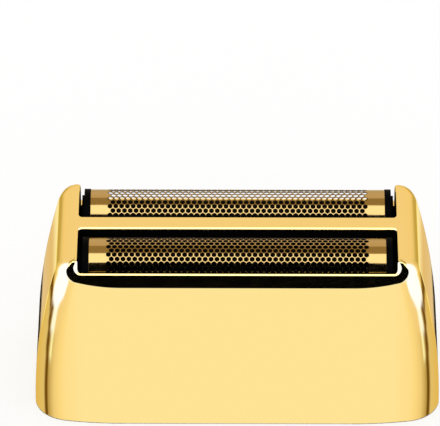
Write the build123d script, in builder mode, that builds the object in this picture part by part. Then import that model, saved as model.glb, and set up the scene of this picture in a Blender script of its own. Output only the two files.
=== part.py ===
from build123d import *
from math import asin, cos, degrees, radians, sin, sqrt, tan
import os

# Shaver foil head, millimetres. The base rim stands on z = 0, the front is -Y and the width lies along X.

# Foils
foil_length = 43.5
foil_radius = 4.36
foil_sheet = 0.2
foil_rise = 0.6
foil_edge_band = 2.85
hole_pitch = 2.06
hole_width = 1.36
hole_rows = 6

# Foil frames
end_wall_thickness = 1.35
end_arch_thickness = 0.9
end_arch_margin = 0.09
end_shoulder_drop = 3.1
rail_thickness = 0.8
rail_height = 3.0
foil_lip_height = 0.6
lug_length = 1.6
lug_width = 3.0
lug_height = 1.6

# Shell
crown_height = 26.7
bar_width = 3.0
bar_thickness = 1.9
cheek_width = 6.6
lip_width = 3.15
front_lean = 4.1
brow_drop = 3.1
brow_angle = 51.0
rear_drop = 4.5
side_radius = 92.0
skirt_bands = 6
bow_length = 12.95
bow_radius = 49.0
base_corner = 5.4
crown_corner = 3.4
crown_fillet = 2.5
window_corner = 0.5
wall = 1.4
chamber_height = 4.3
chamber_step = 1.0
rib_thickness = 1.0
rib_height = 6.5
rib_spacing = 15.0
nib_width = 4.0
nib_height = 1.2
nib_edge = 0.3
nib_reach = 0.6
nib_spacing = 26.0

# Inner frame
socket_depth = 10.0
plate_thickness = 2.0
seat_rise = 4.0
float_travel = 1.0
slot_roof = 1.5
post_thickness = 1.6
post_half_width = 9.4
bay_side_margin = 0.45
bay_end_margin = 0.6
bay_corner = 0.8
tongue_thickness = 1.4
tongue_width = 10.0
tongue_drop = 8.0
tongue_setback = 2.83
catch_width = 6.0
catch_height = 2.5
catch_rise = 2.0
lead_in = 0.8

# Clearances
bar_gap = 0.2
lip_gap = 0.33
end_gap = 0.25
post_gap = 0.3
plate_gap = 0.3
lug_gap = 0.2
rib_gap = 0.34
roof_gap = 0.05

# Places worked out from the sizes above
foil_y = bar_width / 2 + bar_gap + foil_radius
foil_z = crown_height + foil_rise - foil_radius
foil_end = foil_length / 2
foil_inner = foil_radius - foil_sheet
end_wall_face = foil_end + end_wall_thickness
window_end = end_wall_face + end_gap
window_outer = foil_y + foil_radius + lip_gap
base_half_width = window_end + cheek_width
base_half_depth = window_outer + lip_width
bow_start = base_half_width - bow_length
chamber_top = crown_height - bar_thickness
chamber_bottom = chamber_top - chamber_height
plate_top = socket_depth + plate_thickness
seat_height = plate_top + seat_rise
foil_bottom = seat_height + foil_lip_height
post_face = end_wall_face + post_gap


def half_width_at(height):
    """Half the outer width, which follows a large arc that starts upright at the base."""
    return base_half_width - side_radius + sqrt(side_radius**2 - height**2)


def half_depth_at(height):
    """Half the outer depth, where the front and back panels lean in."""
    return base_half_depth - height * tan(radians(front_lean))


def corner_at(height):
    """Radius of the upright corners, which tighten evenly from the base to the crown."""
    return base_corner - (base_corner - crown_corner) * height / crown_height


def head_outline(half_width, half_depth, corner_radius, inset=0.0):
    """Plan outline: straight front and back, bowed towards the ends, with round corners."""
    bow = bow_radius - inset
    corner = corner_radius - inset
    corner_x = half_width - corner
    bow_angle = asin((corner_x - bow_start) / (bow - corner))
    corner_y = bow - half_depth - (bow - corner) * cos(bow_angle)
    bow_degrees = degrees(bow_angle)
    with BuildSketch() as outline:
        with BuildLine():
            Line((-bow_start, -half_depth), (bow_start, -half_depth))
            Line((-bow_start, half_depth), (bow_start, half_depth))
            Line((-half_width, corner_y), (-half_width, -corner_y))
            Line((half_width, corner_y), (half_width, -corner_y))
            bow_arc = CenterArc((bow_start, bow - half_depth), bow, 270, bow_degrees)
            corner_arc = CenterArc((corner_x, corner_y), corner, 270 + bow_degrees, 90 - bow_degrees)
            front_arcs = [bow_arc, corner_arc]
            front_arcs += mirror(front_arcs, about=Plane.YZ).edges()
            mirror(front_arcs, about=Plane.XZ)
        make_face()
    return outline.sketch


os.makedirs("parts", exist_ok=True)

# Head shell: skirt, brow cuts, hollow, foil windows, lower rear lip, then the stop ribs and snap nibs inside
brow_slope = tan(radians(brow_angle))
crown_half_depth = half_depth_at(crown_height - brow_drop) - brow_drop / brow_slope
brow_foot = crown_height - (base_half_depth - crown_half_depth) * brow_slope
chamber_half_depth = half_depth_at(chamber_bottom) - wall - chamber_step
skirt_levels = [crown_height * band / skirt_bands for band in range(skirt_bands + 1)]
hollow_levels = [chamber_bottom * band / skirt_bands for band in range(skirt_bands + 1)]
window_depth = window_outer - bar_width / 2
window_y = (window_outer + bar_width / 2) / 2
rib_face = foil_y + foil_radius + rib_gap
rib_root = half_depth_at(plate_top) - wall / 2
nib_face = half_depth_at(plate_top) - wall - plate_gap - nib_reach
nib_root = half_depth_at(socket_depth) - wall / 2
with BuildPart() as head_shell:
    for level in skirt_levels:
        with BuildSketch(Plane.XY.offset(level)):
            add(head_outline(half_width_at(level), half_depth_at(level), corner_at(level)))
    loft(ruled=True)
    with BuildSketch(Plane.YZ):
        for side in (-1, 1):
            with BuildLine():
                Polyline(
                    (side * crown_half_depth, crown_height),
                    (side * base_half_depth, brow_foot),
                    (side * base_half_depth, crown_height),
                    close=True,
                )
            make_face()
    extrude(amount=base_half_width, both=True, mode=Mode.SUBTRACT)
    crown_edges = head_shell.edges().group_by(Axis.Z)[-1]
    fillet(crown_edges.filter_by(lambda edge: abs(edge.center().X) > foil_end), radius=crown_fillet)

    for level in hollow_levels:
        hollow_sizes = (half_width_at(level) - wall, half_depth_at(level) - wall)
        with BuildSketch(Plane.XY.offset(level)):
            add(head_outline(*hollow_sizes, corner_at(level), wall))
    loft(ruled=True, mode=Mode.SUBTRACT)
    with BuildSketch(Plane.XY.offset(chamber_bottom)):
        add(head_outline(half_width_at(chamber_top) - wall, chamber_half_depth, corner_at(chamber_top), wall))
    extrude(amount=chamber_height, mode=Mode.SUBTRACT)

    with BuildSketch(Plane.XY.offset(plate_top)):
        with Locations((0, -window_y), (0, window_y)):
            RectangleRounded(2 * window_end, window_depth, window_corner)
    extrude(amount=crown_height, mode=Mode.SUBTRACT)
    with BuildSketch(Plane.XY.offset(crown_height - rear_drop)):
        with Locations((0, base_half_depth)):
            Rectangle(2 * window_end, 2 * (base_half_depth - window_y))
    extrude(amount=crown_height, mode=Mode.SUBTRACT)

    for side in (-1, 1):
        with BuildSketch(Plane.XY.offset(plate_top)):
            with Locations((0, side * (rib_face + rib_root) / 2)):
                with GridLocations(rib_spacing, 0, 3, 1):
                    Rectangle(rib_thickness, rib_root - rib_face)
        extrude(amount=rib_height)
        for nib_x in (-nib_spacing / 2, nib_spacing / 2):
            with BuildSketch(Plane.YZ.offset(nib_x)):
                with BuildLine():
                    Polyline(
                        (side * nib_root, socket_depth),
                        (side * nib_face, socket_depth),
                        (side * nib_face, socket_depth - nib_edge),
                        (side * nib_root, socket_depth - nib_height),
                        close=True,
                    )
                make_face()
            extrude(amount=nib_width / 2, both=True)
head_shell.part.label = "head_shell"
export_step(head_shell.part, "parts/head_shell.step")

# Inner frame: plate with two cutter bays, slotted end posts and a catch tongue at each short end
plate_inset = wall + plate_gap
plate_half_width = half_width_at(plate_top) - plate_inset
plate_half_depth = half_depth_at(plate_top) - plate_inset
bay_half_width = foil_inner - rail_thickness + bay_side_margin
slot_height = lug_height + float_travel + roof_gap
post_top = seat_height + slot_height + slot_roof
post_x = post_face + post_thickness / 2
tongue_x = plate_half_width - tongue_setback - tongue_thickness / 2
tongue_bottom = socket_depth - tongue_drop
with BuildPart() as inner_frame:
    with BuildSketch(Plane.XY.offset(socket_depth)):
        add(head_outline(plate_half_width, plate_half_depth, corner_at(plate_top), plate_inset))
        with Locations((0, -foil_y), (0, foil_y)):
            RectangleRounded(
                2 * (foil_end - bay_end_margin), 2 * bay_half_width, bay_corner, mode=Mode.SUBTRACT
            )
    extrude(amount=plate_thickness)

    with BuildSketch(Plane.XY.offset(plate_top)):
        with Locations((-post_x, 0), (post_x, 0)):
            Rectangle(post_thickness, 2 * post_half_width)
    extrude(amount=post_top - plate_top)
    with BuildSketch(Plane.YZ):
        with Locations((-foil_y, seat_height + slot_height / 2), (foil_y, seat_height + slot_height / 2)):
            Rectangle(lug_width + 2 * lug_gap, slot_height)
    extrude(amount=base_half_width, both=True, mode=Mode.SUBTRACT)

    with BuildSketch(Plane.XY.offset(tongue_bottom)):
        with Locations((-tongue_x, 0), (tongue_x, 0)):
            Rectangle(tongue_thickness, tongue_width)
    extrude(amount=tongue_drop)
    lead_edges = inner_frame.faces().group_by(Axis.Z)[0].edges().filter_by(Axis.Y)
    chamfer(lead_edges.sort_by(lambda edge: abs(edge.center().X))[:2], length=lead_in)
    with BuildSketch(Plane.YZ):
        with Locations((0, tongue_bottom + catch_rise + catch_height / 2)):
            Rectangle(catch_width, catch_height)
    extrude(amount=base_half_width, both=True, mode=Mode.SUBTRACT)
inner_frame.part.label = "inner_frame"
export_step(inner_frame.part, "parts/inner_frame.step")

# Foil frames and foils, front and rear
arch_radius = foil_radius + end_arch_margin
arch_foot = foil_z - seat_height
shoulder_top = crown_height + foil_rise - end_shoulder_drop
rail_y = foil_inner - rail_thickness / 2
lip_y = foil_radius - (foil_sheet + rail_thickness) / 2
hole_columns = int((foil_length - 2 * foil_edge_band) / hole_pitch)
row_angle = degrees(hole_pitch * sqrt(3) / 2 / foil_radius)
bend_angles = [90 + row_angle * (hole_rows / 2 - bend) for bend in range(hole_rows + 1)]
foil_bends = [(-foil_radius, foil_bottom)]
for angle in [180] + bend_angles + [0]:
    foil_bends.append((foil_radius * cos(radians(angle)), foil_z + foil_radius * sin(radians(angle))))
foil_bends.append((foil_radius, foil_bottom))
for side, place in ((-1, "front"), (1, "rear")):
    axis_y = side * foil_y
    with BuildPart() as foil_frame:
        for end in (-1, 1):
            with BuildSketch(Plane.YZ.offset(end * foil_end)) as arch:
                with Locations((axis_y, foil_z)):
                    Circle(arch_radius)
                with Locations((axis_y, foil_z - arch_foot / 2)):
                    Rectangle(2 * arch_radius, arch_foot)
            extrude(amount=end * end_arch_thickness)
            with BuildSketch(Plane.YZ.offset(end * foil_end)):
                with Locations((axis_y, (seat_height + shoulder_top) / 2)):
                    Rectangle(2 * arch_radius, shoulder_top - seat_height)
                add(arch.sketch_local, mode=Mode.INTERSECT)
            extrude(amount=end * end_wall_thickness)
            with BuildSketch(Plane.YZ.offset(end * end_wall_face)):
                with Locations((axis_y, seat_height + lug_height / 2)):
                    Rectangle(lug_width, lug_height)
            extrude(amount=end * lug_length)
        with BuildSketch(Plane.YZ):
            with Locations((axis_y - rail_y, 0), (axis_y + rail_y, 0)):
                with Locations((0, seat_height + rail_height / 2)):
                    Rectangle(rail_thickness, rail_height)
            with Locations((axis_y - lip_y, 0), (axis_y + lip_y, 0)):
                with Locations((0, seat_height + foil_lip_height / 2)):
                    Rectangle(foil_sheet + rail_thickness, foil_lip_height)
        extrude(amount=foil_end, both=True)
    foil_frame.part.label = place + "_foil_frame"
    export_step(foil_frame.part, "parts/" + place + "_foil_frame.step")

    with BuildPart() as foil:
        with BuildSketch(Plane.YZ):
            with BuildLine():
                bent = Polyline([(axis_y + across, up) for across, up in foil_bends])
                offset(bent, amount=foil_sheet, side=Side.RIGHT, kind=Kind.INTERSECTION)
            make_face()
        extrude(amount=foil_end, both=True)
        for row in range(hole_rows):
            turn = radians(90 + row_angle * (row - (hole_rows - 1) / 2))
            outward = (0, cos(turn), sin(turn))
            with BuildSketch(Plane((0, axis_y, foil_z), x_dir=(1, 0, 0), z_dir=outward)):
                with GridLocations(hole_pitch, 0, hole_columns - row % 2, 1):
                    RegularPolygon(hole_width / 2, 6, major_radius=False, rotation=30)
            extrude(amount=foil_radius + foil_sheet, mode=Mode.SUBTRACT)
    foil.part.label = place + "_foil"
    export_step(foil.part, "parts/" + place + "_foil.step")
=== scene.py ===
"""Shaver foil head: a gold-plated shell, two perforated gold foils and black mouldings on a pale floor."""
import math

import bpy
import numpy as np
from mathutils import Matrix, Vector, geometry


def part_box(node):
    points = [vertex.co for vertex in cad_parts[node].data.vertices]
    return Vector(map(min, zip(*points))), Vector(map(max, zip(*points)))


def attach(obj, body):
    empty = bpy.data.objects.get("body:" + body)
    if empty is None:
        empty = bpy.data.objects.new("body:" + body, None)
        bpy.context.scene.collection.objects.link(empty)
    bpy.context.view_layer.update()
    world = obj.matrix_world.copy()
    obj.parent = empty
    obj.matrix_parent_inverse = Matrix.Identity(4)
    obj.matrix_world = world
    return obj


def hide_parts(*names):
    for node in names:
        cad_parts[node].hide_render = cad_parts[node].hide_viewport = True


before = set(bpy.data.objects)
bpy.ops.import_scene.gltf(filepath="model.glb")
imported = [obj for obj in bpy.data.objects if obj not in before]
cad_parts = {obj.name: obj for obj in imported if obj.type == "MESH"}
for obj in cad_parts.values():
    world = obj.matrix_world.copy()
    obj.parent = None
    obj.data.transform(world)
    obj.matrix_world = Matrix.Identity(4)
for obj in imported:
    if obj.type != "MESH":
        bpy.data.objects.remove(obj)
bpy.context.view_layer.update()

# Lengths below are in millimetres and angles in degrees; meshes are scaled to metres as they are made.
MM = 0.001

# Form of the head shell, as in the solids.
BASE_HALF_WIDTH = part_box("head_shell")[1].x / MM
BASE_HALF_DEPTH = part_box("head_shell")[1].y / MM
CROWN_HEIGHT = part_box("head_shell")[1].z / MM
SIDE_RADIUS = 92.0
FRONT_LEAN = 4.1
BROW_DROP = 3.1
BROW_ANGLE = 51.0
BOW_LENGTH = 12.95
BOW_RADIUS = 49.0
BASE_CORNER = 5.4
CROWN_CORNER = 3.4
REAR_DROP = 4.5
REAR_LIP_HEIGHT = CROWN_HEIGHT - REAR_DROP
BOW_START = BASE_HALF_WIDTH - BOW_LENGTH

# Softened edges of the shell. The crown's round grows with how far its edge faces sideways.
CROWN_FACING = [0.85, 1.0]
CROWN_ROUNDS = [2.75, 3.1]
BROW_ROUND = 0.5
SHOULDER_ROUND = 0.6
LEAST_SETBACK = 0.03
BASE_ROUND = 0.15

# Bevelled rims of the windows; the gold plating reaches a little way down the wall below them, and the wall
# under that is black as painted shade.
RIM_REACH = 0.28
RIM_DROP = 0.19
RIM_FOOT = 0.06
RIM_EASE = 0.15
END_RIM_REACH = 0.1
CORNER_RIM_REACH = 0.6
CORNER_RIM_RUN = 0.3

# Windows that the foils stand in.
WINDOW_END = 23.35
WINDOW_INNER = 1.5
WINDOW_OUTER = 10.75
WINDOW_CORNER = 0.5
BAR_BOTTOM = 24.8
LIP_BOTTOM = 20.5

# Perforated foils.
FOIL_RADIUS = 4.36
FOIL_SHEET = 0.12
HOLE_ROWS = 19
ROW_SHIFT = -1.57
ROW_TURN = 9.13
HOLES_IN_LONG_ROW = 45
HOLE_PITCH = 0.856
HOLE_APOTHEM = 0.36
HOLE_FLAT_TURN = 22

# Fineness of the meshes.
LEVEL_COUNT = 267
FLAT_STEPS, BOW_STEPS, CORNER_STEPS, SIDE_STEPS = 40, 30, 40, 24
BASE_STEPS, SKIRT_STEPS, CROWN_STEPS, SHOULDER_STEPS = 5, 45, 40, 6
WINDOW_CORNER_STEPS = 12
WINDOW_STEP = 0.4
SHEET_STEP = 0.3
CHEEK_COLUMNS = 60
FOIL_EDGE_POINTS = 31
FOIL_GRID = (90, 49)
SAME_PLACE = 0.001
HAIR = 1e-4


def half_width_at(z):
    return BASE_HALF_WIDTH - SIDE_RADIUS + np.sqrt(SIDE_RADIUS ** 2 - np.asarray(z, float) ** 2)


def half_depth_at(z):
    return BASE_HALF_DEPTH - np.asarray(z, float) * math.tan(math.radians(FRONT_LEAN))


def size_at(z):
    """Half width, half depth and corner radius of the skirt at height z."""
    corner = BASE_CORNER - (BASE_CORNER - CROWN_CORNER) * np.asarray(z, float) / CROWN_HEIGHT
    return np.array([half_width_at(z), half_depth_at(z), corner])


BROW_SLOPE = math.tan(math.radians(BROW_ANGLE))
CROWN_HALF_DEPTH = half_depth_at(CROWN_HEIGHT - BROW_DROP) - BROW_DROP / BROW_SLOPE


def head_outline(half_width, half_depth, corner_radius):
    """Plan outline of the head: points and outward normals, anticlockwise from the middle of the front."""
    reach = BOW_RADIUS - corner_radius
    corner_x = half_width - corner_radius
    bow_angle = math.asin((corner_x - BOW_START) / reach)
    bow_y = BOW_RADIUS - half_depth
    corner_y = bow_y - reach * math.cos(bow_angle)
    flat = np.linspace(0.0, BOW_START, FLAT_STEPS + 1)[:-1]
    bow = np.linspace(0.0, bow_angle, BOW_STEPS + 1)[:-1]
    corner = np.linspace(bow_angle, math.pi / 2, CORNER_STEPS + 1)[:-1]
    side = np.linspace(corner_y, 0.0, SIDE_STEPS + 1)[:-1]
    quarter = np.concatenate([
        np.column_stack([flat, np.full_like(flat, -half_depth)]),
        np.column_stack([BOW_START + BOW_RADIUS * np.sin(bow), bow_y - BOW_RADIUS * np.cos(bow)]),
        np.column_stack([corner_x + corner_radius * np.sin(corner), corner_y - corner_radius * np.cos(corner)]),
        np.column_stack([np.full_like(side, half_width), side]),
    ])
    turn = np.concatenate([0 * flat, bow, corner, np.full_like(side, math.pi / 2)])
    normals = np.column_stack([np.sin(turn), -np.cos(turn)])
    middle = np.array([[half_width, 0.0]])
    front = np.concatenate([quarter, middle])
    front_normals = np.concatenate([normals, [[1.0, 0.0]]])
    flip = np.array([1.0, -1.0])
    half = np.concatenate([front, quarter[:0:-1] * flip])
    half_normals = np.concatenate([front_normals, normals[:0:-1] * flip])
    return np.concatenate([half, -half]), np.concatenate([half_normals, -half_normals])


# Outlines of the skirt at many heights: one row for each height, one column for each place round the head.
LEVEL_STEP = CROWN_HEIGHT / LEVEL_COUNT
LEVELS = np.arange(LEVEL_COUNT + 1) * LEVEL_STEP
SKIRT, SKIRT_NORMALS = (np.array(table) for table in zip(*[head_outline(*size_at(z)) for z in LEVELS]))
COLUMNS = np.arange(SKIRT.shape[1])


def skirt_at(z):
    """The skirt at a height for each column: points, outward plan normals, and how far it leans inwards."""
    place = np.clip(np.broadcast_to(z, COLUMNS.shape) / LEVEL_STEP, 0.0, len(LEVELS) - 1.001)
    row = place.astype(int)
    share = (place - row)[:, None]
    low, high = SKIRT[row, COLUMNS], SKIRT[row + 1, COLUMNS]
    normals = SKIRT_NORMALS[row, COLUMNS] * (1 - share) + SKIRT_NORMALS[row + 1, COLUMNS] * share
    lean = -((high - low) * normals).sum(axis=1) / LEVEL_STEP
    return low + (high - low) * share, normals, lean


def inside_by(x, y, half_width, half_depth, corner_radius):
    """How far plan points lie inside an outline of the given size; negative outside it."""
    x, y = np.abs(x), np.abs(y)
    reach = BOW_RADIUS - corner_radius
    corner_x = half_width - corner_radius
    bow_angle = np.arcsin(np.clip((corner_x - BOW_START) / reach, -1.0, 1.0))
    bow_y = half_depth - BOW_RADIUS
    corner_y = bow_y + reach * np.cos(bow_angle)
    to_front = np.where(x < BOW_START, half_depth - y, BOW_RADIUS - np.hypot(x - BOW_START, y - bow_y))
    dx, dy = x - corner_x, y - corner_y
    in_corner = (dy > 0) & (dx * np.cos(bow_angle) - dy * np.sin(bow_angle) > 0)
    return np.where(in_corner, corner_radius - np.hypot(dx, dy), np.minimum(to_front, half_width - x))


def roof_height(y):
    """Height of the crown at a depth: the flat top and the slanted brows, joined by rounds."""
    setback = BROW_ROUND * math.tan(math.radians(BROW_ANGLE) / 2)
    run = CROWN_HALF_DEPTH - np.abs(y)
    arc = CROWN_HEIGHT - BROW_ROUND + np.sqrt(np.maximum(BROW_ROUND ** 2 - (setback - run) ** 2, 0.0))
    brow = CROWN_HEIGHT + run * BROW_SLOPE
    on_brow = run < -setback * math.cos(math.radians(BROW_ANGLE))
    return np.where(run > setback, CROWN_HEIGHT, np.where(on_brow, brow, arc))


def roof_slope(y):
    step = 0.01
    return (roof_height(y + step) - roof_height(y - step)) / (2 * step)


def unit(vectors):
    return vectors / np.maximum(np.linalg.norm(vectors, axis=-1, keepdims=True), 1e-12)


def roof_normals(y):
    return unit(np.column_stack([np.zeros_like(y), -roof_slope(y), np.ones_like(y)]))


def loop_grid(rows, normals):
    """A closed band of faces through rows of points, each anticlockwise seen from above.

    Where a row's point lies on the point before it, the two are one and the face loses a corner.
    """
    count, around = len(rows), len(rows[0])
    index = np.arange(count * around).reshape(count, around)
    for r in range(1, count):
        still = np.abs(rows[r] - rows[r - 1]).max(axis=1) < SAME_PLACE
        index[r] = np.where(still, index[r - 1], index[r])
    faces = []
    for r in range(count - 1):
        for c in range(around):
            d = (c + 1) % around
            corners = (index[r, c], index[r, d], index[r + 1, d], index[r + 1, c])
            face = tuple(dict.fromkeys(corners))
            if len(face) > 2:
                faces.append(face)
    used = np.unique(index)
    place = np.zeros(count * around, int)
    place[used] = np.arange(len(used))
    faces = [tuple(int(place[i]) for i in face) for face in faces]
    return np.concatenate(rows)[used], np.concatenate(normals)[used], faces


def triangulate(loops, extra, keep):
    """Constrained triangles over plan points; keep(x, y) says which triangles stay, by their middles.

    Gives the plan points, the triangles, and which of the points put in each plan point came from.
    """
    closeness = 1e-6
    points = np.concatenate(loops + [extra])
    edges, start = [], 0
    for loop in loops:
        size = len(loop)
        edges += [(start + i, start + (i + 1) % size) for i in range(size)]
        start += size
    vectors = [Vector(p) for p in points]
    out, _, faces, source, _, _ = geometry.delaunay_2d_cdt(vectors, edges, [], 0, closeness)
    plan = np.array([tuple(p) for p in out])
    faces = np.array([f for f in faces if len(f) == 3])
    middles = plan[faces].mean(axis=1)
    faces = faces[keep(middles[:, 0], middles[:, 1])]
    a, b, c = (plan[faces[:, i]] for i in range(3))
    area = (b - a)[:, 0] * (c - a)[:, 1] - (b - a)[:, 1] * (c - a)[:, 0]
    faces[area < 0] = faces[area < 0][:, ::-1]
    return plan, faces, [s[0] if s else -1 for s in source]


def make_piece(name, parts, materials, body, slot, *nodes):
    """One mesh object from parts of points, normals and faces, standing for the given nodes."""
    points, normals, faces, finish, start = [], [], [], [], 0
    for index, (part_points, part_normals, part_faces) in enumerate(parts):
        points.append(part_points)
        normals.append(part_normals)
        faces += [tuple(int(start + i) for i in face) for face in part_faces]
        finish += [min(index, len(materials) - 1)] * len(part_faces)
        start += len(part_points)
    mesh = bpy.data.meshes.new(name)
    mesh.from_pydata((np.concatenate(points) * MM).tolist(), [], faces)
    mesh.polygons.foreach_set("use_smooth", [True] * len(mesh.polygons))
    mesh.update()
    mesh.normals_split_custom_set_from_vertices(unit(np.concatenate(normals)).tolist())
    for material in materials:
        mesh.materials.append(material)
    mesh.polygons.foreach_set("material_index", finish)
    piece = bpy.data.objects.new(name, mesh)
    bpy.context.scene.collection.objects.link(piece)
    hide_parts(*nodes)
    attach(piece, body)


# The shell


def with_height(plan, z):
    return np.column_stack([plan, np.broadcast_to(z, len(plan))])


def skirt_profile():
    """The outside before the brows are cut: rows from the base edge up the skirt and over the crown's round."""
    rows, normals = [], []
    points, plan_normals, _ = skirt_at(0.0)
    for turn in np.linspace(0.0, math.pi / 2, BASE_STEPS + 1)[:-1]:
        inset = BASE_ROUND * (1 - math.sin(turn))
        rows.append(with_height(points - plan_normals * inset, BASE_ROUND * (1 - math.cos(turn))))
        normals.append(with_height(plan_normals * math.sin(turn), -math.cos(turn)))
    foot = CROWN_HEIGHT
    for _ in range(3):
        points, plan_normals, lean = skirt_at(foot)
        radius = np.interp(np.abs(plan_normals[:, 0]), CROWN_FACING, CROWN_ROUNDS)
        foot = CROWN_HEIGHT - radius * (1 - lean / np.hypot(1.0, lean))
    for share in np.linspace(0.0, 1.0, SKIRT_STEPS + 1):
        z = BASE_ROUND + (foot - BASE_ROUND) * share
        points, plan_normals, lean = skirt_at(z)
        rows.append(with_height(points, z))
        normals.append(np.column_stack([plan_normals, lean]))
    outward = unit(np.column_stack([plan_normals, lean]))
    upward = unit(np.column_stack([-plan_normals * lean[:, None], np.ones_like(lean)]))
    centre = rows[-1] - outward * radius[:, None]
    for share in np.linspace(0.0, 1.0, CROWN_STEPS + 1)[1:]:
        angle = (np.arctan2(1.0, lean) * share)[:, None]
        normals.append(np.cos(angle) * outward + np.sin(angle) * upward)
        rows.append(centre + radius[:, None] * normals[-1])
    return np.array(rows), unit(np.array(normals)), plan_normals


def along_profile(table, place):
    """Values part-way between the rows of a table, one place for each column."""
    row = np.minimum(place.astype(int), len(table) - 2)
    share = (place - row)[:, None]
    return table[row, COLUMNS] * (1 - share) + table[row + 1, COLUMNS] * share


def skirt_rows():
    """Rows of the outside up to where the brows or the flat top begin, with a small round at that edge."""
    points, normals, plan_normals = skirt_profile()

    # Where each column meets the roof, as a place in the profile's rows.
    clear = roof_height(points[:, :, 1]) - points[:, :, 2]
    over = clear < -HAIR
    row = np.where(over.any(axis=0), over.argmax(axis=0), len(points) - 1) - 1
    below, above = clear[row, COLUMNS], clear[row + 1, COLUMNS]
    end = row + np.where(over.any(axis=0), below / np.maximum(below - above, 1e-9), 1.0)
    edge = along_profile(points, end)

    # How far the round starts before that edge and ends behind it.
    ahead = 0.05
    rising = unit(points[row + 1, COLUMNS] - points[row, COLUMNS])
    climb = -roof_slope(edge[:, 1] - plan_normals[:, 1] * ahead) * plan_normals[:, 1]
    inward = unit(np.column_stack([-plan_normals, climb]))
    turn = np.arccos(np.clip((rising * inward).sum(axis=1), -1.0, 1.0))
    setback = np.maximum(SHOULDER_ROUND * np.tan(turn / 2), LEAST_SETBACK)
    steps = np.linalg.norm(np.diff(points, axis=0), axis=2)
    lengths = np.concatenate([[COLUMNS * 0.0], steps.cumsum(axis=0)])
    places = np.arange(len(lengths))
    start = np.array([np.interp(np.interp(e, places, length) - s, length, places)
                      for e, s, length in zip(end, setback, lengths.T)])

    rows, row_normals = [], []
    for level in range(len(points)):
        rows.append(along_profile(points, np.minimum(level, start)))
        row_normals.append(along_profile(normals, np.minimum(level, start)))
    first, first_normal = rows[-1], row_normals[-1]
    last = edge + inward * setback[:, None]
    last[:, 2] = roof_height(last[:, 1])
    for t in np.linspace(0.0, 1.0, SHOULDER_STEPS + 1)[1:]:
        rows.append((1 - t) ** 2 * first + 2 * t * (1 - t) * edge + t ** 2 * last)
        row_normals.append(unit((1 - t) * unit(first_normal) + t * roof_normals(last[:, 1])))
    return rows, row_normals


def window_outline(grow, side):
    """Rounded window outline in plan, and the way into the opening; grow 1 gives its rim's outer edge."""
    middle = np.array([0.0, side * (WINDOW_INNER + WINDOW_OUTER) / 2])
    half = np.array([WINDOW_END, (WINDOW_OUTER - WINDOW_INNER) / 2]) - WINDOW_CORNER
    points, normals = [], []
    corners = [(1, -1), (1, 1), (-1, 1), (-1, -1)]
    for i, (sx, sy) in enumerate(corners):
        centre = middle + half * (sx, sy)
        for turn in np.linspace(0.0, math.pi / 2, WINDOW_CORNER_STEPS + 1):
            angle = math.pi / 2 * (i - 1) + turn
            normals.append((math.cos(angle), math.sin(angle)))
            points.append(centre + WINDOW_CORNER * np.array(normals[-1]))
        after = middle + half * corners[(i + 1) % 4] + WINDOW_CORNER * np.array(normals[-1])
        steps = int(np.linalg.norm(after - points[-1]) / WINDOW_STEP)
        run = np.linspace(0.0, 1.0, steps + 1)[1:-1, None]
        points += list(points[-1] + (after - points[-1]) * run)
        normals += [normals[-1]] * len(run)
    points, normals = np.array(points), np.array(normals)
    past_brow = np.clip((np.abs(points[:, 1]) - CROWN_HALF_DEPTH) / CORNER_RIM_RUN, 0.0, 1.0)
    end_reach = END_RIM_REACH + (CORNER_RIM_REACH - END_RIM_REACH) * past_brow
    reach = np.column_stack([end_reach, np.full(len(points), RIM_REACH)])
    return points + grow * reach * normals, -normals


def inside_loop(x, y, loop):
    """Whether plan points lie inside a closed loop of points."""
    inside = np.zeros(len(x), bool)
    for (ax, ay), (bx, by) in zip(loop, np.roll(loop, -1, axis=0)):
        if ay != by:
            inside ^= ((ay > y) != (by > y)) & (x < ax + (bx - ax) * (y - ay) / (by - ay))
    return inside


def crown_part(foot):
    """The brows and the top as one smooth sheet, from the top of the skirt in to the window rims."""
    windows = [window_outline(1.0, side)[0] for side in (-1, 1)]
    margins = [window_outline(1.5, side)[0] for side in (-1, 1)]
    half_width, half_depth, inset = 26.4, 12.3, 0.99
    gx, gy = np.meshgrid(np.arange(-half_width, half_width + 0.01, SHEET_STEP),
                         np.arange(-half_depth, half_depth + 0.01, SHEET_STEP))
    x = gx.ravel() + SHEET_STEP / 2 * (np.round(gy.ravel() / SHEET_STEP) % 2)
    y = gy.ravel()
    loop = foot[:, :2]

    def between(x, y, outer, holes):
        return inside_loop(x, y, outer) & ~inside_loop(x, y, holes[0]) & ~inside_loop(x, y, holes[1])

    inner = between(x, y, loop * inset, margins)
    plan, faces, source = triangulate(
        [loop] + windows, np.column_stack([x, y])[inner], lambda x, y: between(x, y, loop, windows))
    height = roof_height(plan[:, 1])
    for i, origin in enumerate(source):
        if 0 <= origin < len(foot):
            height[i] = foot[origin, 2]
    return np.column_stack([plan, height]), roof_normals(plan[:, 1]), faces


def rim_part(side):
    """Bevelled rim of one window and the narrow plated strip of wall below it."""
    outer, into = window_outline(1.0, side)
    edge, _ = window_outline(0.0, side)
    start = with_height(outer, roof_height(outer[:, 1]))
    end = with_height(edge, roof_height(edge[:, 1]) - RIM_DROP)
    first = roof_normals(outer[:, 1])
    wall = np.column_stack([into, np.zeros(len(into))])
    fall = (start - end)[:, 2:] / np.linalg.norm((start - end)[:, :2], axis=1, keepdims=True)
    along = np.column_stack([-into[:, 1], into[:, 0]])
    climb = (roof_slope(edge[:, 1]) * along[:, 1])[:, None]
    bevel = unit(np.column_stack([into * fall - along * climb, np.ones(len(into))]))
    foot = end - (0.0, 0.0, RIM_FOOT)
    rows = [start, start + RIM_EASE * (end - start), start + (1 - RIM_EASE) * (end - start), end, foot]
    return loop_grid(rows, [first, bevel, bevel, bevel + wall, wall])


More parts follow.
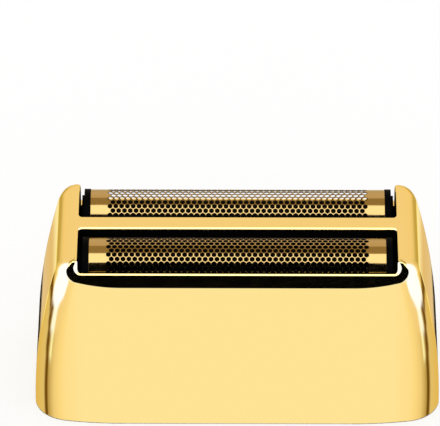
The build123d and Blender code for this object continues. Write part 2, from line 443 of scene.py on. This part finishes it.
def window_wall_part(side):
    """Wall of one window below its rim."""
    edge, into = window_outline(0.0, side)
    wall = np.column_stack([into, np.zeros(len(into))])
    top = roof_height(edge[:, 1]) - RIM_DROP - RIM_FOOT
    bottom = np.where(np.abs(edge[:, 1]) > WINDOW_OUTER - WINDOW_CORNER, LIP_BOTTOM, BAR_BOTTOM)
    rows = [with_height(edge, top), with_height(edge, bottom)]
    return loop_grid(rows, [wall, wall])


def clip(polygon, axis, limit, sign):
    """The share of a polygon on one side of a plane; each row holds a point and its normal."""
    depth = sign * (polygon[:, axis] - limit)
    out = []
    for i in range(len(polygon)):
        j = (i + 1) % len(polygon)
        if depth[i] >= 0:
            out.append(polygon[i])
        if (depth[i] >= 0) != (depth[j] >= 0):
            out.append(polygon[i] + (polygon[j] - polygon[i]) * depth[i] / (depth[i] - depth[j]))
    return np.array(out).reshape(-1, polygon.shape[1])


def lower_rear(part):
    """A part of the shell without what stands over the rear lip between the cheeks."""
    points, normals, faces = part
    rows = np.column_stack([points, unit(normals)])
    kept, cut = [], []
    side = WINDOW_END - HAIR
    for face in faces:
        corners = rows[list(face)]
        over = corners[:, 2].max() > REAR_LIP_HEIGHT and np.abs(corners[:, 0]).min() < side
        if over and corners[:, 1].mean() > (WINDOW_INNER + WINDOW_OUTER) / 2:
            upper = clip(corners, 2, REAR_LIP_HEIGHT, 1)
            cut.append(clip(corners, 2, REAR_LIP_HEIGHT, -1))
            if len(upper):
                cut += [clip(upper, 0, side, 1), clip(upper, 0, -side, -1)]
        else:
            kept.append(tuple(face))
    for polygon in cut:
        if len(polygon) > 2:
            kept.append(tuple(range(len(rows), len(rows) + len(polygon))))
            rows = np.concatenate([rows, polygon])
    return rows[:, :3], rows[:, 3:], kept


def cheek_end_part():
    """Inner walls of the cheeks behind the rear window, down to the rear lip."""
    y = np.linspace(WINDOW_OUTER - 2 * WINDOW_CORNER, half_depth_at(REAR_LIP_HEIGHT), CHEEK_COLUMNS)
    x = np.full_like(y, WINDOW_END)
    low, high = np.full_like(y, REAR_LIP_HEIGHT), np.full_like(y, CROWN_HEIGHT)
    halvings = 30
    for _ in range(halvings):
        level = (low + high) / 2
        inside = inside_by(x, y, *size_at(level)) > 0
        low, high = np.where(inside, level, low), np.where(inside, high, level)
    top = np.minimum(low, roof_height(y) - np.where(y < WINDOW_OUTER, RIM_DROP, 0.0))
    last_tall = np.flatnonzero(top > REAR_LIP_HEIGHT + 0.01)[-1]
    count = last_tall + 2
    x, y, top = x[:count], y[:count], top[:count]
    bottom = np.full_like(y, REAR_LIP_HEIGHT)
    points, normals, faces = [], [], []
    for end in (-1, 1):
        start = len(points) * count
        points += [np.column_stack([end * x, y, bottom]), np.column_stack([end * x, y, top])]
        normals += [np.tile([-end, 0.0, 0.0], (2 * count, 1))]
        for i in range(start, start + count - 1):
            face = (i, i + 1, i + 1 + count, i + count)
            if i == start + last_tall:
                face = (i, i + 1, i + count)
            faces.append(face[::-1] if end > 0 else face)
    return np.concatenate(points), np.concatenate(normals), faces


def inside_part():
    """Faces taken from the shell's solid: the top of the rear lip, and the hidden faces inside."""
    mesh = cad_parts["head_shell"].data
    points = np.array([v.co for v in mesh.vertices]) / MM
    mesh.calc_loop_triangles()
    faces = np.array([t.vertices for t in mesh.loop_triangles])
    a, b, c = (points[faces[:, i]] for i in range(3))
    middle = (a + b + c) / 3
    normal = unit(np.cross(b - a, c - a))

    # Faces that look out of the shell are the skin's, apart from the underside.
    look_out = 0.9
    x, y, z = (middle + look_out * normal).T
    outside = (inside_by(x, y, *size_at(z)) < 0) | (z > roof_height(y))
    x, y, z = middle.T
    underside = z < 0.05
    upright, level = np.abs(normal[:, 2]) < 0.05, normal[:, 2] > 0.99

    # Upper walls of the windows are built anew; near is how far a face lies outside the window's outline.
    window_middle, half_window = (WINDOW_INNER + WINDOW_OUTER) / 2, (WINDOW_OUTER - WINDOW_INNER) / 2
    near = np.maximum(np.abs(np.abs(y) - window_middle) - half_window, np.abs(x) - WINDOW_END)
    on_wall = (near > -0.4) & (near < 0.02) & upright
    reaches_bar = points[faces][:, :, 2].max(axis=1) > BAR_BOTTOM - 0.5

    keep = (~outside | underside) & ~(on_wall & reaches_bar)
    lip_top = (np.abs(z - REAR_LIP_HEIGHT) < 0.01) & level
    parts = []
    for chosen in (keep & lip_top, keep & ~lip_top):
        corners = points[faces[chosen]].reshape(-1, 3)
        triangles = np.arange(len(corners)).reshape(-1, 3)
        parts.append((corners, np.repeat(normal[chosen], 3, axis=0), triangles))
    return parts


def join(parts):
    """Several parts as one."""
    starts = np.cumsum([0] + [len(points) for points, _, _ in parts])
    faces = [tuple(int(start + i) for i in face) for start, part in zip(starts, parts) for face in part[2]]
    points, normals = (np.concatenate([part[i] for part in parts]) for i in (0, 1))
    return points, normals, faces


def build_shell(plating, black_for_shade):
    """The head shell: plated outside; the window walls and the inside are black as painted shade."""
    rows, normals = skirt_rows()
    outside = [loop_grid(rows, normals), crown_part(rows[-1]), rim_part(-1), rim_part(1)]
    lip_top, hidden = inside_part()
    # The window walls, the cheeks' inner end walls and the hidden faces inside are black: painted shade.
    inside = [lower_rear(window_wall_part(side)) for side in (-1, 1)] + [cheek_end_part(), hidden]
    parts = [join([lower_rear(part) for part in outside] + [lip_top]), join(inside)]
    make_piece("head_shell_plated", parts, [plating, black_for_shade], "housing", "gold_plating", "head_shell")


# The foils


def foil_plan(length, skirt):
    """Flat pattern of a foil: boundary, hole outlines, and extra points where the sheet bends."""
    half_arch = FOIL_RADIUS * math.pi / 2
    edge = half_arch + skirt
    side = np.linspace(-length / 2, length / 2, FOIL_EDGE_POINTS)
    boundary = np.concatenate([
        np.column_stack([side, np.full_like(side, -edge)]),
        np.column_stack([side[::-1], np.full_like(side, edge)]),
    ])
    radius = HOLE_APOTHEM / math.cos(math.radians(HOLE_FLAT_TURN))
    turns = [math.radians(60 * k + offset) for k in range(6) for offset in (-HOLE_FLAT_TURN, HOLE_FLAT_TURN)]
    outline = radius * np.array([(math.cos(turn), math.sin(turn)) for turn in turns])
    holes = []
    for row in range(HOLE_ROWS):
        s = FOIL_RADIUS * math.radians(ROW_TURN * (row - (HOLE_ROWS - 1) / 2) + ROW_SHIFT)
        count = HOLES_IN_LONG_ROW - row % 2
        for column in range(count):
            holes.append(outline + (HOLE_PITCH * (column - (count - 1) / 2), s))
    end_margin, side_margin, edge_margin = 0.15, 0.1, 0.05
    holed_end = HOLE_PITCH * HOLES_IN_LONG_ROW / 2 + end_margin
    holed_side = FOIL_RADIUS * math.radians(ROW_TURN * HOLE_ROWS / 2 + abs(ROW_SHIFT)) + side_margin
    grid_end = length / 2 - edge_margin
    gx, gy = np.meshgrid(np.linspace(-grid_end, grid_end, FOIL_GRID[0]),
                         np.linspace(-half_arch, half_arch, FOIL_GRID[1]))
    spots = np.column_stack([gx.ravel(), gy.ravel()])
    plain = (np.abs(spots[:, 0]) > holed_end) | (np.abs(spots[:, 1]) > holed_side)
    return boundary, holes, spots[plain]


def bend(plan, radius, foil_y, foil_z):
    """Flat pattern points wrapped over the arch and down the skirts, with outward normals."""
    x, s = plan.T
    half_arch = FOIL_RADIUS * math.pi / 2
    angle = np.clip(s, -half_arch, half_arch) / FOIL_RADIUS
    below = np.maximum(np.abs(s) - half_arch, 0.0)
    sine, cosine = np.sin(angle), np.cos(angle)
    points = np.column_stack([x, foil_y + radius * sine, foil_z + radius * cosine - below])
    return points, np.column_stack([np.zeros_like(x), sine, cosine])


def build_foil(name, node, body, outside, inside):
    """One perforated foil in its node's box: outer face, inner face, and walls round the edge and the holes."""
    low, high = (np.array(corner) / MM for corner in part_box(node))
    foil_y, foil_z = (low[1] + high[1]) / 2, high[2] - FOIL_RADIUS
    boundary, holes, spots = foil_plan(high[0] - low[0], foil_z - low[2])
    owner = np.concatenate([[-1] * len(boundary)] + [[i] * len(hole) for i, hole in enumerate(holes)])
    plan, faces, source = triangulate([boundary] + holes, spots, lambda x, y: np.ones(len(x), bool))
    belongs = np.array([owner[s] if 0 <= s < len(owner) else -1 for s in source])[faces]
    in_hole = (belongs[:, 0] >= 0) & (belongs[:, 0] == belongs[:, 1]) & (belongs[:, 1] == belongs[:, 2])
    faces = faces[~in_hole]
    outer, outward = bend(plan, FOIL_RADIUS, foil_y, foil_z)
    inner, _ = bend(plan, FOIL_RADIUS - FOIL_SHEET, foil_y, foil_z)
    edges = np.concatenate([faces[:, [0, 1]], faces[:, [1, 2]], faces[:, [2, 0]]])
    keys = np.sort(edges, axis=1) @ np.array([len(plan), 1])
    _, first, uses = np.unique(keys, return_index=True, return_counts=True)
    border = edges[first[uses == 1]]
    a, b = border.T
    quads = np.stack([outer[b], outer[a], inner[a], inner[b]], axis=1)
    wall_normals = np.repeat(unit(np.cross(quads[:, 1] - quads[:, 0], quads[:, 3] - quads[:, 0])), 4, axis=0)
    walls = (quads.reshape(-1, 3), wall_normals, np.arange(4 * len(quads)).reshape(-1, 4))
    parts = [(outer, outward, faces), (inner, -outward, faces[:, ::-1]), walls]
    make_piece(name, parts, [outside, inside], body, "gold_foil", node)


# Materials

# Most of what a noise texture gives lies between these.
NOISE_LOW, NOISE_HIGH = 0.3, 0.7
EVEN = (1, 1, 1)


def new_material(name):
    material = bpy.data.materials.new(name)
    material.use_nodes = True
    return material, material.node_tree.nodes, material.node_tree.links


def noise(nodes, links, coordinates, scale, detail):
    """A noise texture's value."""
    texture = nodes.new("ShaderNodeTexNoise")
    texture.inputs["Scale"].default_value = scale
    texture.inputs["Detail"].default_value = detail
    links.new(coordinates, texture.inputs["Vector"])
    return texture.outputs["Fac"]


def spread(nodes, links, value, low, high):
    """A noise value spread over a range."""
    ranged = nodes.new("ShaderNodeMapRange")
    ranged.inputs["From Min"].default_value = NOISE_LOW
    ranged.inputs["From Max"].default_value = NOISE_HIGH
    ranged.inputs["To Min"].default_value = low
    ranged.inputs["To Max"].default_value = high
    links.new(value, ranged.inputs["Value"])
    return ranged.outputs["Result"]


def add_bump(nodes, links, shader, height, strength, distance):
    bump = nodes.new("ShaderNodeBump")
    bump.inputs["Strength"].default_value = strength
    bump.inputs["Distance"].default_value = distance
    links.new(height, bump.inputs["Height"])
    links.new(bump.outputs["Normal"], shader.inputs["Normal"])


def stretched(nodes, links, scale):
    """Object coordinates, scaled along each axis."""
    coordinates = nodes.new("ShaderNodeTexCoord").outputs["Object"]
    mapping = nodes.new("ShaderNodeMapping")
    mapping.inputs["Scale"].default_value = scale
    links.new(coordinates, mapping.inputs["Vector"])
    return mapping.outputs["Vector"]


def gold_plating():
    """Mirror-bright gold plating over moulded plastic, faintly wavy."""
    material, nodes, links = new_material("gold_plating")
    shader = nodes["Principled BSDF"]
    shader.inputs["Base Color"].default_value = (0.97, 0.78, 0.32, 1)
    shader.inputs["Specular Tint"].default_value = (1.0, 0.82, 0.42, 1)
    shader.inputs["Metallic"].default_value = 1.0
    coordinates = stretched(nodes, links, EVEN)
    haze = noise(nodes, links, coordinates, 900, 4)
    links.new(spread(nodes, links, haze, 0.03, 0.07), shader.inputs["Roughness"])
    add_bump(nodes, links, shader, noise(nodes, links, coordinates, 180, 1), 0.01, 0.001)
    return material


def gold_foil():
    """Thin rolled foil in a deeper gold, with fine rolling lines along its length."""
    material, nodes, links = new_material("gold_foil")
    shader = nodes["Principled BSDF"]
    shader.inputs["Base Color"].default_value = (0.53, 0.37, 0.14, 1)
    shader.inputs["Metallic"].default_value = 1.0
    lines = noise(nodes, links, stretched(nodes, links, (0.03, 1, 1)), 9000, 3)
    links.new(spread(nodes, links, lines, 0.06, 0.14), shader.inputs["Roughness"])
    add_bump(nodes, links, shader, lines, 0.02, 0.0001)
    return material


def foil_inside():
    """Nearly black, dull metal on the inner side of the foils and the walls of their holes."""
    material, nodes, links = new_material("foil_inside")
    shader = nodes["Principled BSDF"]
    shader.inputs["Base Color"].default_value = (0.05, 0.04, 0.025, 1)
    shader.inputs["Metallic"].default_value = 1.0
    mottle = noise(nodes, links, stretched(nodes, links, EVEN), 3000, 3)
    links.new(spread(nodes, links, mottle, 0.4, 0.6), shader.inputs["Roughness"])
    return material


def black_moulding():
    """Black moulded plastic with a fine grain; on the shell's window walls and inside the same black is painted
    shade.
    """
    material, nodes, links = new_material("black_moulding")
    shader = nodes["Principled BSDF"]
    shader.inputs["Base Color"].default_value = (0.002, 0.002, 0.0022, 1)
    shader.inputs["Specular IOR Level"].default_value = 0.01
    coordinates = stretched(nodes, links, EVEN)
    wear = noise(nodes, links, coordinates, 600, 2)
    links.new(spread(nodes, links, wear, 0.38, 0.55), shader.inputs["Roughness"])
    add_bump(nodes, links, shader, noise(nodes, links, coordinates, 7000, 3), 0.12, 0.0001)
    return material


# Studio


def build_floor():
    """Pale floor, lightened for the camera so that only the head's shadow shows."""
    camera_glow, half = 0.6, 3.0
    material, nodes, links = new_material("pale_floor")
    shader = nodes["Principled BSDF"]
    shader.inputs["Base Color"].default_value = (1, 1, 1, 1)
    shader.inputs["Roughness"].default_value = 0.9
    shader.inputs["Specular IOR Level"].default_value = 0.0
    glow = nodes.new("ShaderNodeEmission")
    glow.inputs["Color"].default_value = (1, 1, 1, 1)
    seen = nodes.new("ShaderNodeMath")
    seen.operation = "MULTIPLY"
    seen.inputs[1].default_value = camera_glow
    links.new(nodes.new("ShaderNodeLightPath").outputs["Is Camera Ray"], seen.inputs[0])
    blend = nodes.new("ShaderNodeMixShader")
    links.new(seen.outputs["Value"], blend.inputs["Fac"])
    links.new(shader.outputs["BSDF"], blend.inputs[1])
    links.new(glow.outputs["Emission"], blend.inputs[2])
    links.new(blend.outputs["Shader"], nodes["Material Output"].inputs["Surface"])
    mesh = bpy.data.meshes.new("floor")
    corners = [(-half, -half, 0), (half, -half, 0), (half, half, 0), (-half, half, 0)]
    mesh.from_pydata(corners, [], [(0, 1, 2, 3)])
    mesh.materials.append(material)
    floor = bpy.data.objects.new("floor", mesh)
    bpy.context.scene.collection.objects.link(floor)
    floor.visible_glossy = False


def build_world():
    """White studio for the camera, even light for the surfaces, soft boxes and dark gaps for reflections."""
    world = bpy.data.worlds.new("studio")
    bpy.context.scene.world = world
    world.use_nodes = True
    nodes, links = world.node_tree.nodes, world.node_tree.links

    def calculate(operation, *values):
        node = nodes.new("ShaderNodeMath")
        node.operation = operation
        for socket, value in zip(node.inputs, values):
            if isinstance(value, (int, float)):
                socket.default_value = value
            else:
                links.new(value, socket)
        return node.outputs["Value"]

    def ramp(value, stops):
        node = nodes.new("ShaderNodeValToRGB")
        while len(node.color_ramp.elements) < len(stops):
            node.color_ramp.elements.new(0.5)
        for element, (position, colour) in zip(node.color_ramp.elements, stops):
            element.position = position
            element.color = (*colour, 1) if isinstance(colour, tuple) else (colour, colour, colour, 1)
        links.new(value, node.inputs["Fac"])
        return node.outputs["Color"]

    def mix(factor, first, second):
        node = nodes.new("ShaderNodeMix")
        node.data_type = "RGBA"
        sockets = [s for s in node.inputs if s.type == "RGBA"]
        links.new(factor, node.inputs["Factor"])
        for socket, value in zip(sockets, (first, second)):
            if isinstance(value, tuple):
                socket.default_value = (*value, 1)
            else:
                links.new(value, socket)
        return next(s for s in node.outputs if s.type == "RGBA")

    def passed(value, place, blur):
        """0 before a place and 1 past it, with a soft step between."""
        node = nodes.new("ShaderNodeMapRange")
        node.interpolation_type = "SMOOTHSTEP"
        node.inputs["From Min"].default_value = place - blur
        node.inputs["From Max"].default_value = place + blur
        links.new(value, node.inputs["Value"])
        return node.outputs["Result"]

    def but_not(mask):
        return calculate("SUBTRACT", 1.0, mask)

    def both(first, second):
        return calculate("MULTIPLY", first, second)

    # Where a reflection looks: away is 0 at the front and 1 at the back, rise 0 at the floor and 1 overhead.
    direction = nodes.new("ShaderNodeSeparateXYZ")
    links.new(nodes.new("ShaderNodeTexCoord").outputs["Generated"], direction.inputs["Vector"])
    x, y, z = direction.outputs
    bearing = calculate("ARCTAN2", calculate("ABSOLUTE", x), calculate("MULTIPLY", y, -1.0))
    away = calculate("DIVIDE", bearing, math.pi)
    rise = calculate("ADD", calculate("DIVIDE", calculate("ARCSINE", z), math.pi), 0.5)
    backward = calculate("ADD", calculate("MULTIPLY", y, 0.5), 0.5)

    def rise_of(degrees):
        return degrees / 180 + 0.5

    def at_rise(degrees, blur):
        return passed(rise, rise_of(degrees), blur / 180)

    # Colours from light to dark; the head's gold tints them.
    strength = 2.1
    front_box, cool, bright, glint = 0.48, (0.55, 0.66, 1.4), (0.50, 0.58, 0.95), (0.49, 0.53, 0.55)
    pale, cream, honey = (0.49, 0.47, 0.45), (0.49, 0.435, 0.355), (0.474, 0.41, 0.295)
    warm, amber, tan = (0.45, 0.376, 0.29), (0.428, 0.361, 0.265), (0.378, 0.318, 0.214)
    dim, dusk, shade = (0.36, 0.30, 0.19), (0.34, 0.28, 0.175), (0.277, 0.23, 0.119)
    ceiling, brown, line = (0.25, 0.19, 0.10), (0.227, 0.168, 0.076), (0.08, 0.041, 0.004)
    gap, black = (0.004, 0.004, 0.004), 0.0005

    # Bands from the floor up to the ceiling, each by how far away from the front it is.
    front = [(0.0, pale), (0.08, pale), (0.13, cream)]
    floor_glow = ramp(away, front + [(0.21, honey), (0.30, amber), (0.36, dusk), (0.43, brown),
                                     (0.45, line), (0.49, line), (0.54, tan)])
    taper = ramp(away, front + [(0.21, honey), (0.30, amber), (0.365, dim), (0.39, glint), (0.41, glint),
                                (0.445, brown), (0.475, line), (0.515, line), (0.56, tan)])
    box_edge = ramp(away, front + [(0.30, warm), (0.355, warm), (0.39, bright), (0.455, bright),
                                   (0.49, brown), (0.515, line), (0.555, line), (0.59, tan)])
    low_boxes = ramp(away, [(0.0, front_box), (0.25, front_box), (0.29, cool), (0.60, cool), (0.66, cream),
                            (0.72, tan)])
    high_boxes = ramp(away, [(0.0, black), (0.06, black), (0.09, cool), (0.60, cool), (0.67, warm)])
    overhead = ramp(backward, [(0.505, 1.0), (0.52, ceiling)])

    # A dark gap low at the back, which draws the sides' dark outlines.
    far_gap = both(passed(away, 0.948, 0.006), but_not(passed(away, 0.978, 0.004)))
    floor_glow = mix(both(far_gap, but_not(at_rise(-31, 1))), floor_glow, gap)
    low = mix(at_rise(-29.2, 0.6), floor_glow, taper)
    low = mix(at_rise(-23.7, 0.5), mix(at_rise(-26.6, 0.6), low, box_edge), low_boxes)

    # A highlight and a shade behind the sides, for the cheeks.
    behind = both(passed(away, 0.79, 0.02), but_not(passed(away, 0.93, 0.02)))
    low = mix(both(behind, at_rise(-31.9, 0.8)), low, glint)
    low = mix(both(behind, at_rise(-23.0, 3.0)), low, shade)
    low = mix(both(behind, at_rise(-2.0, 7.0)), low, warm)

    # A thin dark line that sinks towards the back, beside the bright front corners.
    line_path = [(0.56, -25.1), (0.61, -24.75), (0.65, -24.6), (0.72, -25.8), (0.775, -27.2), (0.85, -30.3)]
    line_rise = ramp(away, [(place, rise_of(degrees)) for place, degrees in line_path])
    off_line = calculate("ABSOLUTE", calculate("SUBTRACT", rise, line_rise))
    on_line = both(but_not(passed(off_line, 0.75 / 180, 0.35 / 180)), passed(away, 0.575, 0.02))
    low = mix(both(on_line, but_not(passed(away, 0.83, 0.02))), low, line)

    studio = mix(at_rise(53, 1.5), mix(at_rise(14, 2), low, high_boxes), overhead)
    lit = nodes.new("ShaderNodeVectorMath")
    lit.operation = "SCALE"
    lit.inputs["Scale"].default_value = strength
    links.new(studio, lit.inputs[0])
    white = (1.0, 1.0, 1.0)
    in_reflection = nodes.new("ShaderNodeLightPath").outputs["Is Glossy Ray"]
    background = nodes["Background"]
    background.inputs["Strength"].default_value = 1.0
    links.new(mix(in_reflection, white, lit.outputs["Vector"]), background.inputs["Color"])


def build_camera():
    """Camera at the photograph's angle: the head's middle lies right of and below the picture's middle."""
    elevation, distance = math.radians(36.5), 843.0
    width, width_in_pixels = 65.31, 440
    pixels_right, pixels_down = 17.6, 82.3
    scale = width / width_in_pixels
    middle = Vector((0, 0, 13.35))
    back = Vector((0, -math.cos(elevation), math.sin(elevation)))
    up = Vector((0, math.sin(elevation), math.cos(elevation)))
    place = middle + back * distance
    aim = middle + Vector((-pixels_right * scale, 0, 0)) + up * pixels_down * scale
    data = bpy.data.cameras.new("camera")
    data.sensor_fit = "HORIZONTAL"
    data.angle_x = 2 * math.atan(width / 2 / (aim - place).length)
    data.clip_start = 0.01
    camera = bpy.data.objects.new("camera", data)
    camera.location = place * MM
    camera.rotation_euler = (aim - place).to_track_quat("-Z", "Y").to_euler()
    bpy.context.scene.collection.objects.link(camera)
    bpy.context.scene.camera = camera


plating, plastic = gold_plating(), black_moulding()
foil_metal, foil_back = gold_foil(), foil_inside()
# The black moulding on the shell's window walls and inside is painted shade.
build_shell(plating, plastic)
build_foil("front_foil_sheet", "front_foil", "front_cassette", foil_metal, foil_back)
build_foil("rear_foil_sheet", "rear_foil", "rear_cassette", foil_metal, foil_back)
for node in ("inner_frame", "front_foil_frame", "rear_foil_frame"):
    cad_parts[node].data.materials.clear()
    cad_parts[node].data.materials.append(plastic)
build_floor()
build_world()
build_camera()
bpy.context.scene.view_settings.view_transform = "Standard"
